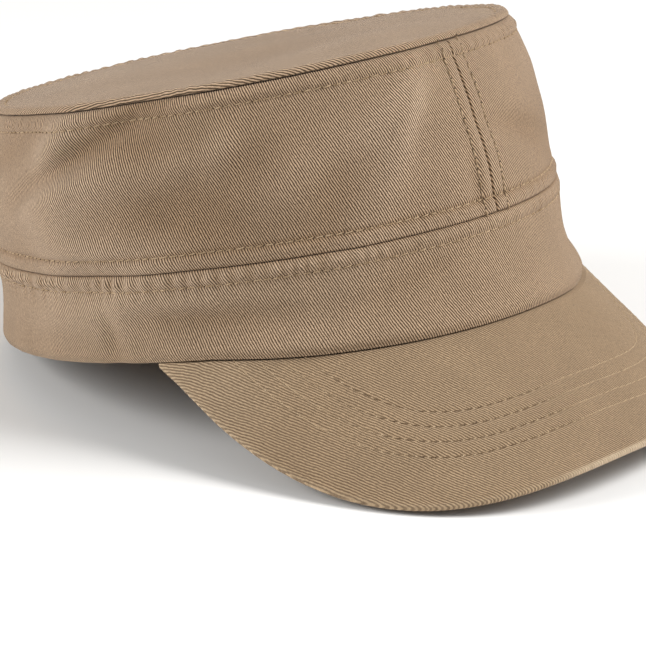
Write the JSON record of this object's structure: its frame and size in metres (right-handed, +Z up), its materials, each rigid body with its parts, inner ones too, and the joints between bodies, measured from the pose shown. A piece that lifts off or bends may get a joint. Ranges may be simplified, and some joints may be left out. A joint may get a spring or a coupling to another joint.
{
  "type": "field cap",
  "caption": "Soft twill field cap with an oval top, side panels, a wide band and an arched, curved-down peak; it lies on its back rim and the sides of its peak.",
  "frame": {"origin": "on the surface that the cap lies on, under the middle of its bounding box", "axes": "+Z up from that surface, -Y the way that the cap faces, +X the wearer's left"},
  "size_m": [0.1812, 0.2554, 0.1194],
  "materials": {
    "crown_twill": "washed cotton twill, matte, khaki tan",
    "band_twill": "washed cotton twill in two layers, matte, khaki tan",
    "peak_twill": "washed cotton twill over a stiff board, matte, khaki tan"
  },
  "bodies": {
    "root": {"crown_top": "crown_twill", "crown_side_right": "crown_twill", "crown_side_left": "crown_twill", "band": "band_twill", "peak": "peak_twill"}
  },
  "joints": []
}
